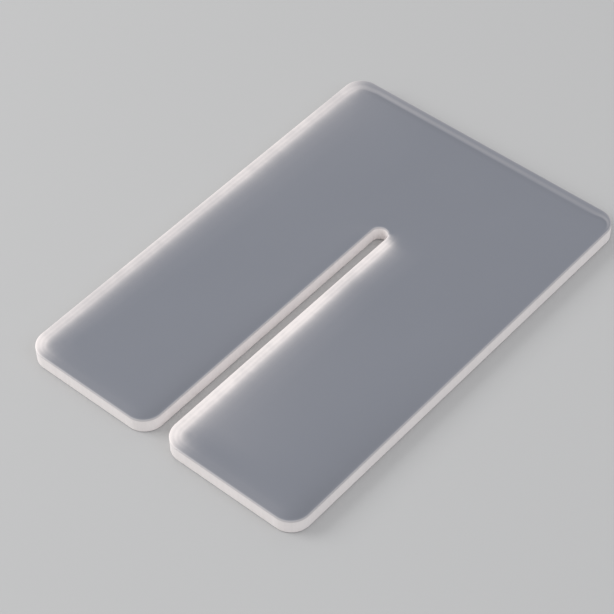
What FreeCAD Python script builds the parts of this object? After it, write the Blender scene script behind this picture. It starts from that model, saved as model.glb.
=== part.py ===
import FreeCAD, Part
import os

# A flat plate with one open slot. The slot runs in from the middle of a short edge and leaves two
# tongues, joined by the solid end of the plate. Lengths are in millimetres.
#
# Frame: the origin is the middle of the underside. X runs across the plate, Y along it, away from
# the slotted edge, and Z up through its thickness.

# The plate
LENGTH = 117.0  # along Y, from the slotted edge to the solid one
WIDTH = 80.0  # along X
THICKNESS = 4.0  # the gauge of the sheet that the plate is cut from
CORNER_RADIUS = 5.0  # the four outer corners

# The slot
SLOT_WIDTH = 4.2
SLOT_DEPTH = 79.6  # from the slotted edge to the bottom of the slot's round end
SLOT_OFFSET = -0.75  # from the plate's centre line to the slot's, along X
MOUTH_RADIUS = 5.0  # the corner of each tongue, where the slot opens

# The edges
EDGE_BREAK = 0.25  # chamfer along every arris, on both faces

TOLERANCE = 1e-4  # two positions closer than this are the same
MOUTH_Y = -LENGTH / 2  # the slotted edge


def upright_edges(solid, x_values, y_values):
    """The solid's edges that stand along Z at any of these x and any of these y."""
    found = []
    for edge in solid.Edges:
        box = edge.BoundBox
        stands = box.ZLength > TOLERANCE and box.XLength + box.YLength < TOLERANCE
        at_x = any(abs(box.XMin - x) < TOLERANCE for x in x_values)
        at_y = any(abs(box.YMin - y) < TOLERANCE for y in y_values)
        if stands and at_x and at_y:
            found.append(edge)
    return found


def flat_edges(solid):
    """The solid's edges that lie level: the outlines of its two faces."""
    return [edge for edge in solid.Edges if edge.BoundBox.ZLength < TOLERANCE]


def blank():
    """The plate before the slot is cut, with its outer corners rounded."""
    corner = FreeCAD.Vector(-WIDTH / 2, MOUTH_Y, 0)
    sheet = Part.makeBox(WIDTH, LENGTH, THICKNESS, corner)
    corners = upright_edges(sheet, [-WIDTH / 2, WIDTH / 2], [-LENGTH / 2, LENGTH / 2])
    return sheet.makeFillet(CORNER_RADIUS, corners)


def slot_cutter():
    """What the slot takes out: a straight run, open at the slotted edge, and its round end."""
    radius = SLOT_WIDTH / 2
    run = SLOT_DEPTH - radius
    start = FreeCAD.Vector(SLOT_OFFSET - radius, MOUTH_Y, 0)
    end_centre = FreeCAD.Vector(SLOT_OFFSET, MOUTH_Y + run, 0)
    straight = Part.makeBox(SLOT_WIDTH, run, THICKNESS, start)
    round_end = Part.makeCylinder(radius, THICKNESS, end_centre)
    return straight.fuse(round_end).removeSplitter()


def slotted_plate():
    """The finished plate: slot cut, tongues rounded at the mouth, and every arris broken."""
    slotted = blank().cut(slot_cutter())
    slot_sides = [SLOT_OFFSET - SLOT_WIDTH / 2, SLOT_OFFSET + SLOT_WIDTH / 2]
    rounded = slotted.makeFillet(MOUTH_RADIUS, upright_edges(slotted, slot_sides, [MOUTH_Y]))
    return rounded.makeChamfer(EDGE_BREAK, flat_edges(rounded)).Solids[0]


PARTS = {"slotted_plate": slotted_plate}

os.makedirs("parts", exist_ok=True)
for node, build in PARTS.items():
    build().exportStep("parts/" + node + ".step")
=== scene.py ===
import math

import bmesh
import bpy
import numpy as np
from mathutils import Matrix, Vector


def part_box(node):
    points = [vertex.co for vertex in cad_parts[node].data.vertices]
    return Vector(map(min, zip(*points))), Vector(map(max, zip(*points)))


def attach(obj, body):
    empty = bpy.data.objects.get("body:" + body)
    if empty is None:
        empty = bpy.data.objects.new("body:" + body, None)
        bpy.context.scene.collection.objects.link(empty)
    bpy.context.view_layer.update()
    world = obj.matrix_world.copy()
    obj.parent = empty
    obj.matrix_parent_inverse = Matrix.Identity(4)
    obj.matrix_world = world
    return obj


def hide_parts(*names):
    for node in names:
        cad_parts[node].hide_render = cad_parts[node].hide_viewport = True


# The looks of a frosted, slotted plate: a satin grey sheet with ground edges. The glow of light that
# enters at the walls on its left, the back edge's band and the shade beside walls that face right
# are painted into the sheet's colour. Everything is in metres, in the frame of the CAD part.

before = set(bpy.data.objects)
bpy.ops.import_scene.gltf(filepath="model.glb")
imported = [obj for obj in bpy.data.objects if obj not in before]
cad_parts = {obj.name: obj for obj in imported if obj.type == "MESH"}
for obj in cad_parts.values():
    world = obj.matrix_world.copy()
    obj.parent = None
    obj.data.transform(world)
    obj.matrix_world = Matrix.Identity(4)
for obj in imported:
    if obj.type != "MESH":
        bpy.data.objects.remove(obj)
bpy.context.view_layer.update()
MM = 0.001

# The plate, whose outer size is the CAD node's
PLATE_LOW, PLATE_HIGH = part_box("slotted_plate")
SLOT_WIDTH = 4.2 * MM
SLOT_DEPTH = 79.6 * MM
SLOT_OFFSET = -0.75 * MM
CORNER_RADIUS = 5.0 * MM
MOUTH_RADIUS = 5.0 * MM
EDGE_BREAK = 0.25 * MM
SLOT_LEFT = SLOT_OFFSET - SLOT_WIDTH / 2
SLOT_RIGHT = SLOT_OFFSET + SLOT_WIDTH / 2
SLOT_END = PLATE_LOW.y + SLOT_DEPTH
THICKNESS = PLATE_HIGH.z - PLATE_LOW.z

# How finely the plate is cut up
CORNER_STEPS = 24
BREAK_STEPS = 3
RING_STEP = 0.5 * MM  # between the rings that follow the outline, on both faces
RING_COUNT = 9  # together narrower than the corners' radius
GRID_STEP = 2.0 * MM  # between the cuts across the whole plate
WALL_SAMPLE = 0.5 * MM  # between the places on the walls that light the sheet
NEAR = 0.5 * MM  # keeps a place on a wall from counting without limit for a point right beside it
SAME = 1e-6  # points closer than this are one
LEVEL_TILT = 0.999  # a face whose normal's height is over this is level
UPRIGHT_TILT = 0.02  # and one where it is under this is upright

# Material slots of the plate
FACE, WALL, ARRIS = range(3)

# The camera, which looks at the middle of the sheet's thickness
CAMERA_AIM = Vector((0.0, -7.9 * MM, THICKNESS / 2))
CAMERA_DISTANCE = 516.3 * MM
CAMERA_AZIMUTH = math.radians(42.37)
CAMERA_ELEVATION = math.radians(47.97)
CAMERA_ROLL = math.radians(-2.15)
SENSOR_WIDTH = 36.0
LENS = 132.1

# Finishes: colours are linear, sizes in metres
SATIN_GREY = (0.194, 0.204, 0.237)
# GLOW_WHITE is the colour of the glow painted into the sheet beside the walls
GLOW_WHITE = (0.862, 0.800, 0.782)
WALL_WHITE = (0.880, 0.835, 0.825)
FACE_ROUGHNESS = 0.45
WALL_ROUGHNESS = 0.8
ARRIS_ROUGHNESS = 0.6
FACE_RELIEF = 0.004 * MM
WALL_RELIEF = 0.01 * MM

# Uses of the grain: its scale, and how far it swings the shade
GLOW_PATCHES = (45.0, 0.9)
GLOW_MOTTLE = (450.0, 0.35)
FACE_CLOUD = (60.0, 0.05)
FACE_GRAIN = (4000.0, 0.08)
WALL_MARKS = (1500.0, 0.12)
WALL_MOTTLE = (90.0, 0.1)
ROUND = (1, 1, 1)  # grains as high as they are wide
TALL = (1, 1, 0.05)  # grains drawn out up and down

# The light that a wall takes in, by the way it faces, which sets how bright the glow painted beside
# it is: degrees from left, 0, round to the front, 90
LIGHT_BY_FACING = [
    (-90, 0), (-60, 0.08), (-45, 0.22), (-30, 0.47), (-10, 0.75), (0, 0.77), (10, 1.12),
    (45, 1.12), (60, 1), (80, 0.67), (89, 0.3), (90, 0.04), (120, 0),
]
LIGHT_SPREAD = 1.6 * MM  # how far light spreads along a wall
SLOT_GAIN = 1.2  # the straight wall of the slot takes in this many times the light of the outer one
END_FADE = 5.0  # how quickly the glow dies away where the lit wall ends
END_LIT = 1.5 * MM  # of the slot's rounded end, this much is still lit
BACK_LIGHT = (0.17, 0.08)  # of the back edge's band, at its left and right ends
RIGHT_TURN = 3.0  # how much the back edge's band brightens as it goes round the right corner
RIGHT_PULL = 2.0  # and how much nearer it comes to the edge there
FRONT_PULL = 0.2  # how much nearer the glow comes to the edge beside walls that face the front
CORNER_REACH = 0.8  # how much further the glow reaches in from the far left corner
CORNER_SPREAD = 8.0 * MM  # as far as this from it

# What changes in the painted glow and shade from the front of the plate to half way and to the back
# RIGHT_SHADE is painted shade: the sheet is painted darker beside walls that face right
RIGHT_SHADE = (0.17, 0.03, 0.0)  # beside walls that face right
LEFT_REACH = (0.97, 1.03, 1.09)  # how far the glow of the outer wall reaches, about 1
SLOT_REACH = (1.09, 0.92, 0.93)  # and the glow of the slot's wall
LEFT_POOL = (-0.02, 0.006, 0.03)  # the faint, broad light beyond the outer wall's glow
SLOT_POOL = (0.055, 0.0, 0.0)  # and beyond the glow of the slot's wall
POOL_SPREAD = [(0, 0), (4, 0.6), (8, 1), (12, 0.85), (18, 0.4), (28, 0)]  # by mm from that wall
POOL_START = [(5, 0), (10, 1)]  # by mm from the front edge

# How the painted glow falls off, with the wall seen through the sheet painted into its first few
# millimetres: pairs of millimetres from the wall and share of the wall's light
GLOW_REACH = 12 * MM
LIT_GLOW = [
    (0, 1), (0.5, 1), (0.9, 0.9), (1.4, 1), (1.9, 0.83), (2.4, 0.84), (2.7, 0.7),
    (3, 0.54), (3.5, 0.38), (4, 0.26), (5, 0.145), (6, 0.085), (8, 0.03), (12, 0),
]
# BACK_GLOW and BACK_LIGHT set a painted band of light along the back edge, in place of the back wall
# seen through the sheet
BACK_GLOW = [
    (0, 0.6), (0.5, 0.45), (1.1, 0.35), (1.5, 0.75), (1.8, 1),
    (2.1, 1), (2.4, 0.7), (2.7, 0.2), (2.9, 0), (12, 0),
]
# SOFT_EDGE_GLOW is a painted lightening of the face just beside every wall
SOFT_EDGE_GLOW = [(0, 0.2), (0.1, 0.14), (0.3, 0.06), (0.5, 0.02), (0.8, 0), (12, 0)]  # beside every wall
# RIGHT_DIM and BACK_DIM are painted shade: how much darker the sheet is painted beside walls that
# face right and just inside the back's painted band
RIGHT_DIM = [(0, 0), (0.5, 0.8), (1, 1), (2, 0.9), (3, 0.7), (5, 0.45), (8, 0.2), (12, 0)]
BACK_DIM = [(0, 0), (2.5, 0), (2.9, 0.7), (3.4, 0.5), (4.5, 0.1), (12, 0)]
# WALL_SHARE is how much of the wall's own white shows at each height; above 3.4 mm the wall turns to
# the sheet's colour, with its painted glow and shade
WALL_SHARE = [(0, 1), (3.4, 1), (3.6, 0.74), (3.75, 0.46), (4, 0.18)]  # by height
# LIT_WALL is painted light: walls that take in light are painted whiter
LIT_WALL = 0.06  # a wall that takes in light looks whiter by this share

# Light
WORLD_STRENGTH = 0.75
FLOOR_GREY = 0.5
FLOOR_ROUGHNESS = 0.9
FLOOR_SIZE = 4.0
FLOOR_GAP = 0.1 * MM  # keeps the floor clear of the underside
SOFTBOX_DISTANCE = 0.9
SOFTBOX_SIZE = 0.5
KEY = {"azimuth": -60, "elevation": 35, "power": 3.6, "colour": (1, 1, 1)}
FILL = {"azimuth": 95, "elevation": 45, "power": 0.94, "colour": (0.81, 0.87, 1)}

# Geometry ---------------------------------------------------------------------------------------


def vertices_at(bm, points):
    """The mesh's vertices that stand at any of these (x, y) points."""
    found = []
    for vertex in bm.verts:
        if any((vertex.co.xy - Vector(point)).length < SAME for point in points):
            found.append(vertex)
    return found


def round_corners(bm, points, radius):
    """Turns the outline's corners at these points into arcs."""
    corners = vertices_at(bm, points)
    bmesh.ops.bevel(
        bm,
        geom=corners,
        offset=radius,
        offset_type="OFFSET",
        segments=CORNER_STEPS,
        profile=0.5,
        affect="VERTICES",
        material=-1,
    )


def draw_outline(bm):
    """One flat face in the shape of the plate, at the height of its underside."""
    left, front = PLATE_LOW.xy
    right, back = PLATE_HIGH.xy
    outer = [(left, front), (right, front), (right, back), (left, back)]
    mouth = [(SLOT_LEFT, front), (SLOT_RIGHT, front)]
    end = [(SLOT_LEFT, SLOT_END), (SLOT_RIGHT, SLOT_END)]
    ordered = [outer[0], mouth[0], end[0], end[1], mouth[1], outer[1], outer[2], outer[3]]
    bm.faces.new([bm.verts.new((x, y, PLATE_LOW.z)) for x, y in ordered])
    round_corners(bm, outer, CORNER_RADIUS)
    round_corners(bm, mouth, MOUTH_RADIUS)
    round_corners(bm, end, SLOT_WIDTH / 2)
    bmesh.ops.remove_doubles(bm, verts=bm.verts, dist=SAME)


def thicken(bm):
    """Raises the outline into a closed plate and breaks its arrises."""
    raised = bmesh.ops.extrude_face_region(bm, geom=bm.faces[:])["geom"]
    top = [item for item in raised if isinstance(item, bmesh.types.BMVert)]
    bmesh.ops.translate(bm, vec=(0, 0, THICKNESS), verts=top)
    bmesh.ops.recalc_face_normals(bm, faces=bm.faces)
    arrises = [edge for edge in bm.edges if abs(edge.verts[0].co.z - edge.verts[1].co.z) < SAME]
    bmesh.ops.bevel(
        bm,
        geom=arrises,
        offset=EDGE_BREAK,
        offset_type="OFFSET",
        segments=BREAK_STEPS,
        profile=0.5,
        affect="EDGES",
        material=-1,
    )


def cut_across(bm):
    """Cuts the whole plate along a grid, so that what changes along an edge has room to."""
    for axis in (0, 1):
        place = PLATE_LOW[axis] + GRID_STEP
        while place < PLATE_HIGH[axis]:
            point = Vector((0, 0, 0))
            point[axis] = place
            normal = Vector((0, 0, 0))
            normal[axis] = 1
            whole = bm.verts[:] + bm.edges[:] + bm.faces[:]
            bmesh.ops.bisect_plane(bm, geom=whole, dist=SAME, plane_co=point, plane_no=normal)
            place += GRID_STEP


def broad_faces(bm):
    """The two big faces of the plate, its top and its underside."""
    return [face for face in bm.faces if abs(face.normal.z) > LEVEL_TILT]


def add_rings(bm, face):
    """Insets one broad face several times, so that its outer band follows the outline."""
    for _ in range(RING_COUNT):
        bmesh.ops.inset_region(bm, faces=[face], thickness=RING_STEP, use_even_offset=True)


def outline_edges(bm):
    """The flat outline's edges as arrays: where each starts and ends, and which way is out."""
    bm.faces.ensure_lookup_table()
    loops = bm.faces[0].loops
    starts = np.array([loop.vert.co.xy for loop in loops])
    ends = np.array([loop.link_loop_next.vert.co.xy for loop in loops])
    run = ends - starts
    outward = np.stack([run[:, 1], -run[:, 0]], axis=1)
    return starts, ends, outward / np.linalg.norm(outward, axis=1)[:, None]


def assign_slots(bm):
    """Gives each face of the mesh its material slot, and shades the curved ones smooth."""
    for face in bm.faces:
        tilt = abs(face.normal.z)
        if tilt > LEVEL_TILT:
            face.material_index = FACE
        elif tilt < UPRIGHT_TILT:
            face.material_index = WALL
        else:
            face.material_index = ARRIS
        face.smooth = face.material_index != FACE


def distances_to_outline(points, starts, ends):
    """How far each point lies from the nearest of the outline's edges."""
    run = ends - starts
    offset = points[:, None, :] - starts[None, :, :]
    along = (offset * run).sum(axis=2) / (run * run).sum(axis=1)
    nearest = starts + np.clip(along, 0, 1)[:, :, None] * run
    return np.linalg.norm(points[:, None, :] - nearest, axis=2).min(axis=1)


def wall_places(starts, ends, outward):
    """Places close together along the walls: where each is, which way it faces and its length."""
    places = []
    facings = []
    lengths = []
    for start, end, facing in zip(starts, ends, outward):
        run = np.linalg.norm(end - start)
        count = max(1, math.ceil(run / WALL_SAMPLE))
        for step in range(count):
            places.append(start + (end - start) * (step + 0.5) / count)
            facings.append(facing)
            lengths.append(run / count)
    return np.array(places), np.array(facings), np.array(lengths)


def in_slot(places):
    """Which places are on the walls of the slot."""
    return np.abs(places[:, 0] - SLOT_OFFSET) < SLOT_WIDTH / 2 + SAME


def in_slot_end(places):
    """Which places are on the rounded end of the slot, past its lit part."""
    return in_slot(places) & (np.abs(places[:, 1] - SLOT_END) < SLOT_WIDTH / 2 - END_LIT)


def light_of_walls(walls):
    """The light that each place on the walls takes in, once it has spread along them."""
    places, facings, lengths = walls
    angle = np.degrees(np.arctan2(-facings[:, 1], -facings[:, 0]))
    taken_in = np.interp(angle, *zip(*LIGHT_BY_FACING))
    taken_in[in_slot(places)] *= SLOT_GAIN
    taken_in[in_slot_end(places)] = 0
    along = np.cumsum(lengths) - lengths / 2
    apart = np.abs(along[:, None] - along[None, :])
    apart = np.minimum(apart, lengths.sum() - apart)
    share = np.exp(-apart / LIGHT_SPREAD) * lengths
    return share @ taken_in / share.sum(axis=1)


def squared_to_walls(points, places):
    """The squared distance from each point to each place on the walls, never quite 0."""
    return ((points[:, None, :] - places[None, :, :]) ** 2).sum(axis=2) + NEAR**2


def light_near(points, distances, walls):
    """The light that the nearest walls take in, fading beyond the slot's lit wall."""
    places, _, lengths = walls
    squared = squared_to_walls(points, places)
    nearest = lengths / squared**3
    lit = nearest @ light_of_walls(walls) / nearest.sum(axis=1)
    long_wall = math.pi / 2 / (distances**2 + NEAR**2) ** 1.5
    reached = (lengths / squared**2 @ ~in_slot_end(places)) / long_wall
    return lit * np.clip(reached, 0, 1) ** END_FADE


def walls_facing(points, walls):
    """How far the walls near each point face right, to the back and to the front, from 0 to 1."""
    places, facings, lengths = walls
    pull = lengths / squared_to_walls(points, places) ** 2
    facing = (pull @ facings) / pull.sum(axis=1)[:, None]
    rightward, backward = np.clip(facing, 0, 1).T
    return rightward, backward, np.clip(-facing[:, 1], 0, 1)


def light_in_sheet(points, distances, walls):
    """What the materials need to paint the glow and shade from at each point, by the name of the
    attribute it goes in.
    """
    rightward, backward, frontward = walls_facing(points, walls)
    across = (PLATE_LOW.x, PLATE_HIGH.x)
    back = backward * np.interp(points[:, 0], across, BACK_LIGHT)
    return {
        "wall_distance": distances,
        "wall_light": light_near(points, distances, walls),
        "glow_depth": glow_depths(points, distances) * (1 + FRONT_PULL * frontward**4),
        "back_light": back * (1 + RIGHT_TURN * rightward),
        "back_depth": distances * (1 + RIGHT_PULL * rightward**2) / corner_reach(points),
        "right_shade": rightward * front_to_back(points, RIGHT_SHADE),
        "pool_light": light_pools(points),
    }


def front_to_back(points, values):
    """Three values, at the plate's front, half way and at its back, read at each point."""
    return np.interp(points[:, 1], (PLATE_LOW.y, 0, PLATE_HIGH.y), values)


def corner_reach(points):
    """How much further the glow and the back's band lie from the walls near the far left corner."""
    from_corner = np.hypot(points[:, 0] - PLATE_LOW.x, points[:, 1] - PLATE_HIGH.y)
    return 1 + CORNER_REACH * np.clip(1 - from_corner / CORNER_SPREAD, 0, 1)


def glow_depths(points, distances):
    """The distances to the walls, made less where the glow reaches further."""
    by_slot = points[:, 0] > SLOT_OFFSET
    reach = np.where(by_slot, front_to_back(points, SLOT_REACH), front_to_back(points, LEFT_REACH))
    return distances / (reach * corner_reach(points))


def light_pools(points):
    """The faint light that spreads far into the sheet from each of the two lit walls."""
    by_slot = points[:, 0] > SLOT_OFFSET
    from_wall = points[:, 0] - np.where(by_slot, SLOT_RIGHT, PLATE_LOW.x)
    light = np.where(by_slot, front_to_back(points, SLOT_POOL), front_to_back(points, LEFT_POOL))
    light *= np.interp((points[:, 1] - PLATE_LOW.y) / MM, *zip(*POOL_START))
    return light * np.interp(from_wall / MM, *zip(*POOL_SPREAD))


def store(mesh, name, values):
    """Keeps one number for each vertex, for the materials to read."""
    attribute = mesh.attributes.new(name, "FLOAT", "POINT")
    attribute.data.foreach_set("value", np.asarray(values, dtype=np.float32))


def make_plate():
    """The whole plate as one closed mesh, with what its materials need to know of the walls to paint
    the glow and shade beside them.
    """
    bm = bmesh.new()
    draw_outline(bm)
    starts, ends, outward = outline_edges(bm)
    thicken(bm)
    for face in broad_faces(bm):
        add_rings(bm, face)
    cut_across(bm)
    assign_slots(bm)
    mesh = bpy.data.meshes.new("frosted_plate")
    bm.to_mesh(mesh)
    bm.free()
    points = np.array([vertex.co.xy for vertex in mesh.vertices])
    points, place_of = np.unique(points.round(8), axis=0, return_inverse=True)
    distances = distances_to_outline(points, starts, ends)
    known = light_in_sheet(points, distances, wall_places(starts, ends, outward))
    for name, values in known.items():
        store(mesh, name, values[place_of.ravel()])
    plate = bpy.data.objects.new("frosted_plate", mesh)
    bpy.context.scene.collection.objects.link(plate)
    return plate


# Materials --------------------------------------------------------------------------------------


class Nodes:
    """A material's or a group's nodes, added and joined in one call each."""

    def __init__(self, tree):
        self.tree = tree

    def add(self, kind, links=(), **settings):
        """A new node. links maps its inputs to other nodes' outputs or to plain values."""
        node = self.tree.nodes.new(kind)
        for name, value in settings.items():
            setattr(node, name, value)
        for name, value in dict(links).items():
            if isinstance(value, bpy.types.NodeSocket):
                self.tree.links.new(value, node.inputs[name])
            else:
                node.inputs[name].default_value = value
        return node


def grain_group():
    """Shared by every finish: a fine grain, as a shade about 1 and as a height from 0 to 1."""
    tree = bpy.data.node_groups.new("grain", "ShaderNodeTree")
    tree.interface.new_socket("Vector", in_out="INPUT", socket_type="NodeSocketVector")
    tree.interface.new_socket("Scale", in_out="INPUT", socket_type="NodeSocketFloat")
    tree.interface.new_socket("Contrast", in_out="INPUT", socket_type="NodeSocketFloat")
    tree.interface.new_socket("Shade", in_out="OUTPUT", socket_type="NodeSocketFloat")
    tree.interface.new_socket("Height", in_out="OUTPUT", socket_type="NodeSocketFloat")
    nodes = Nodes(tree)
    given = nodes.add("NodeGroupInput").outputs
    noise = nodes.add(
        "ShaderNodeTexNoise",
        {"Vector": given["Vector"], "Scale": given["Scale"], "Detail": 4.0, "Roughness": 0.6},
    )
    height = noise.outputs["Fac"]
    centred = nodes.add("ShaderNodeMath", {0: height, 1: 0.5}, operation="SUBTRACT").outputs[0]
    swing = nodes.add("ShaderNodeMath", {0: centred, 1: given["Contrast"]}, operation="MULTIPLY")
    shade = nodes.add("ShaderNodeMath", {0: swing.outputs[0], 1: 1.0}, operation="ADD").outputs[0]
    nodes.add("NodeGroupOutput", {"Shade": shade, "Height": height})
    return tree


def new_material(name, roughness):
    """A material with its shader's roughness set, and the means to add nodes to it."""
    material = bpy.data.materials.new(name)
    material.use_nodes = True
    shader = material.node_tree.nodes["Principled BSDF"]
    shader.inputs["Roughness"].default_value = roughness
    return material, shader, Nodes(material.node_tree)


def add_grain(nodes, group, stretch, use):
    """Places the shared grain for one use, drawn out by stretch along X, Y and Z."""
    scale, contrast = use
    place = nodes.add("ShaderNodeTexCoord").outputs["Object"]
    drawn = nodes.add("ShaderNodeMapping", {"Vector": place, "Scale": stretch}).outputs["Vector"]
    grain = nodes.add("ShaderNodeGroup", node_tree=group)
    nodes.tree.links.new(drawn, grain.inputs["Vector"])
    grain.inputs["Scale"].default_value = scale
    grain.inputs["Contrast"].default_value = contrast
    return grain.outputs["Shade"], grain.outputs["Height"]


def multiplied(nodes, colour, *shades):
    """A colour darkened or lightened by each of the shades."""
    for shade in shades:
        scaled = nodes.add("ShaderNodeVectorMath", {0: colour, "Scale": shade}, operation="SCALE")
        colour = scaled.outputs["Vector"]
    return colour


def summed(nodes, total, *others):
    """The sum of several numbers."""
    for other in others:
        total = nodes.add("ShaderNodeMath", {0: total, 1: other}, operation="ADD").outputs[0]
    return total


def bumped(nodes, shader, height, depth):
    """Gives the shader relief of that depth."""
    bump = nodes.add("ShaderNodeBump", {"Height": height, "Distance": depth, "Strength": 1.0})
    nodes.tree.links.new(bump.outputs["Normal"], shader.inputs["Normal"])


def ramp(nodes, value, reach, levels):
    """Reads levels, which are (mm, share) pairs, at a length. reach is the last pair's length."""
    share = nodes.add("ShaderNodeMath", {0: value, 1: reach}, operation="DIVIDE").outputs[0]
    node = nodes.add("ShaderNodeValToRGB", {"Fac": share})
    stops = node.color_ramp.elements
    while len(stops) < len(levels):
        stops.new(1.0)
    for stop, (millimetres, level) in zip(stops, levels):
        stop.position = millimetres * MM / reach
        stop.color = (level, level, level, 1)
    return node.outputs["Color"]


def blend(nodes, share, first, second):
    """A colour between two others, either of which may be plain or another node's."""
    mixed = nodes.add("ShaderNodeMix", {"Factor": share}, data_type="RGBA")
    sockets = [socket for socket in mixed.inputs if socket.type == "RGBA"]
    for socket, colour in zip(sockets, (first, second)):
        if isinstance(colour, bpy.types.NodeSocket):
            nodes.tree.links.new(colour, socket)
        else:
            socket.default_value = (*colour, 1)
    return [socket for socket in mixed.outputs if socket.type == "RGBA"][0]


def known_of(nodes, name):
    """What the mesh knows of a point, as a number."""
    return nodes.add("ShaderNodeAttribute", attribute_name=name).outputs["Fac"]


def sheet_group(grain):
    """Shared by every finish: the sheet's grey, with painted glow beside the walls that take in
    light and painted shade beside walls that face right and inside the back's band.
    """
    tree = bpy.data.node_groups.new("sheet_grey_painted_glow_and_shade", "ShaderNodeTree")
    tree.interface.new_socket("Color", in_out="OUTPUT", socket_type="NodeSocketColor")
    nodes = Nodes(tree)
    distance = known_of(nodes, "wall_distance")
    back_light = known_of(nodes, "back_light")
    back_depth = known_of(nodes, "back_depth")
    patches, _ = add_grain(nodes, grain, ROUND, GLOW_PATCHES)
    mottle, _ = add_grain(nodes, grain, ROUND, GLOW_MOTTLE)
    # Painted glow: beside the walls that take in light, along the back edge and just beside every
    # wall, with faint pools of it further in
    lit = ramp(nodes, known_of(nodes, "glow_depth"), GLOW_REACH, LIT_GLOW)
    lit = multiplied(nodes, lit, known_of(nodes, "wall_light"), patches, mottle)
    back = ramp(nodes, back_depth, GLOW_REACH, BACK_GLOW)
    back = multiplied(nodes, back, back_light, patches, mottle)
    edge_glow = ramp(nodes, distance, GLOW_REACH, SOFT_EDGE_GLOW)
    share = summed(nodes, lit, back, edge_glow, known_of(nodes, "pool_light"))
    glowing = blend(nodes, share, SATIN_GREY, GLOW_WHITE)
    # Painted shade: darker beside walls that face right and just inside the back's band
    beside = ramp(nodes, distance, GLOW_REACH, RIGHT_DIM)
    beside = multiplied(nodes, beside, known_of(nodes, "right_shade"))
    behind = multiplied(nodes, ramp(nodes, back_depth, GLOW_REACH, BACK_DIM), back_light)
    shade = {0: 1.0, 1: summed(nodes, beside, behind)}
    dim = nodes.add("ShaderNodeMath", shade, operation="SUBTRACT").outputs[0]
    nodes.add("NodeGroupOutput", {"Color": multiplied(nodes, glowing, dim)})
    return tree


def satin_face(grain, sheet):
    """The broad faces: cool grey satin with a fine grain, and the glow and shade painted beside the
    walls.
    """
    material, shader, nodes = new_material("satin_face", FACE_ROUGHNESS)
    base = nodes.add("ShaderNodeGroup", node_tree=sheet).outputs["Color"]
    cloud, _ = add_grain(nodes, grain, ROUND, FACE_CLOUD)
    fine, height = add_grain(nodes, grain, ROUND, FACE_GRAIN)
    colour = multiplied(nodes, base, cloud, fine)
    nodes.tree.links.new(colour, shader.inputs["Base Color"])
    bumped(nodes, shader, height, FACE_RELIEF)
    return material


def ground_wall(grain, sheet, name, roughness):
    """The walls: near-white where they are sawn and ground, turning to the sheet's colour with its
    painted glow and shade towards the face, and painted whiter where they take in light.
    """
    material, shader, nodes = new_material(name, roughness)
    place = nodes.add("ShaderNodeTexCoord").outputs["Object"]
    height = nodes.add("ShaderNodeSeparateXYZ", {"Vector": place}).outputs["Z"]
    share = ramp(nodes, height, THICKNESS, WALL_SHARE)
    inside = nodes.add("ShaderNodeGroup", node_tree=sheet).outputs["Color"]
    base = blend(nodes, share, inside, WALL_WHITE)
    marks, relief = add_grain(nodes, grain, TALL, WALL_MARKS)
    mottle, _ = add_grain(nodes, grain, ROUND, WALL_MOTTLE)
    # Painted light: walls that take in light are made whiter
    whiter = {0: known_of(nodes, "wall_light"), 1: LIT_WALL, 2: 1.0}
    lit = nodes.add("ShaderNodeMath", whiter, operation="MULTIPLY_ADD").outputs[0]
    colour = multiplied(nodes, base, marks, mottle, lit)
    nodes.tree.links.new(colour, shader.inputs["Base Color"])
    bumped(nodes, shader, relief, WALL_RELIEF)
    return material


def plain(name, colour, roughness):
    """A material of one colour, for what isn't part of the plate."""
    material, shader, _ = new_material(name, roughness)
    shader.inputs["Base Color"].default_value = (*colour, 1)
    return material


# Stage ------------------------------------------------------------------------------------------


def make_floor():
    """A plain pale floor, just under the plate."""
    bm = bmesh.new()
    bmesh.ops.create_grid(bm, x_segments=1, y_segments=1, size=FLOOR_SIZE / 2)
    bmesh.ops.translate(bm, vec=(0, 0, PLATE_LOW.z - FLOOR_GAP), verts=bm.verts)
    mesh = bpy.data.meshes.new("floor")
    bm.to_mesh(mesh)
    bm.free()
    mesh.materials.append(plain("floor_paint", (FLOOR_GREY,) * 3, FLOOR_ROUGHNESS))
    floor = bpy.data.objects.new("floor", mesh)
    bpy.context.scene.collection.objects.link(floor)


def towards(azimuth, elevation):
    """The direction of a place seen from the plate: azimuth 0 is in front, and 90 to the right."""
    level = math.cos(elevation)
    return Vector((math.sin(azimuth) * level, -math.cos(azimuth) * level, math.sin(elevation)))


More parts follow.
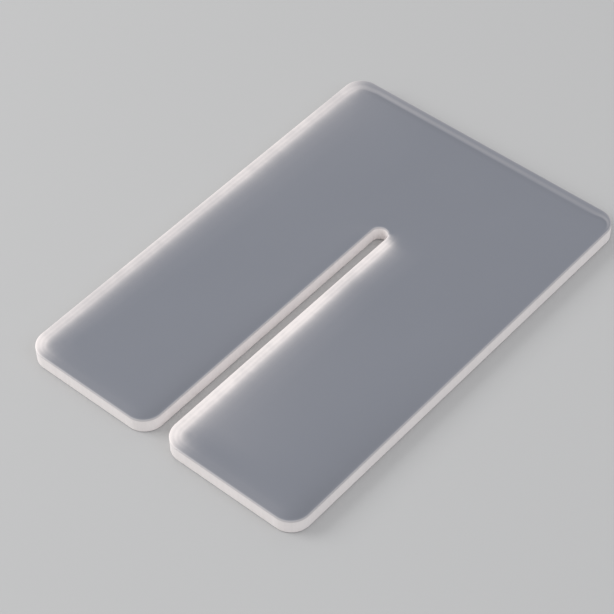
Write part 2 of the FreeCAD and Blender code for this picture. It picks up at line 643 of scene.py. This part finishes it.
def add_softbox(name, azimuth, elevation, power, colour):
    """A square lamp that looks at the plate. Angles are in degrees, power in watts."""
    lamp = bpy.data.lights.new(name, "AREA")
    lamp.color = colour
    lamp.shape = "SQUARE"
    lamp.size = SOFTBOX_SIZE
    lamp.energy = power
    softbox = bpy.data.objects.new(name, lamp)
    bpy.context.scene.collection.objects.link(softbox)
    direction = towards(math.radians(azimuth), math.radians(elevation))
    softbox.location = direction * SOFTBOX_DISTANCE
    softbox.rotation_euler = direction.to_track_quat("Z", "Y").to_euler()


def light_world():
    """Even white light from all round."""
    world = bpy.data.worlds.new("studio")
    bpy.context.scene.world = world
    world.use_nodes = True
    world.node_tree.nodes["Background"].inputs["Strength"].default_value = WORLD_STRENGTH
    world.node_tree.nodes["Background"].inputs["Color"].default_value = (1, 1, 1, 1)


def add_camera():
    """The camera, turned about its own axis by the roll."""
    back = towards(CAMERA_AZIMUTH, CAMERA_ELEVATION)
    level = Vector((math.cos(CAMERA_AZIMUTH), math.sin(CAMERA_AZIMUTH), 0))
    turned = Matrix((level, back.cross(level), back)).transposed().to_4x4()
    turned = turned @ Matrix.Rotation(CAMERA_ROLL, 4, "Z")
    camera = bpy.data.cameras.new("camera")
    camera.sensor_width = SENSOR_WIDTH
    camera.lens = LENS
    holder = bpy.data.objects.new("camera", camera)
    bpy.context.scene.collection.objects.link(holder)
    holder.matrix_world = Matrix.Translation(CAMERA_AIM + back * CAMERA_DISTANCE) @ turned
    bpy.context.scene.camera = holder


# Assembly ---------------------------------------------------------------------------------------

grain = grain_group()
sheet = sheet_group(grain)
plate = make_plate()
plate.data.materials.append(satin_face(grain, sheet))
plate.data.materials.append(ground_wall(grain, sheet, "ground_wall", WALL_ROUGHNESS))
plate.data.materials.append(ground_wall(grain, sheet, "broken_arris", ARRIS_ROUGHNESS))
weigh = plate.modifiers.new("even_normals", "WEIGHTED_NORMAL")
weigh.mode = "FACE_AREA"
weigh.weight = 100  # the biggest faces alone set the shading
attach(plate, "root")
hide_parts("slotted_plate")

make_floor()
light_world()
add_softbox("key", **KEY)
add_softbox("fill", **FILL)
add_camera()
bpy.context.scene.view_settings.view_transform = "Standard"
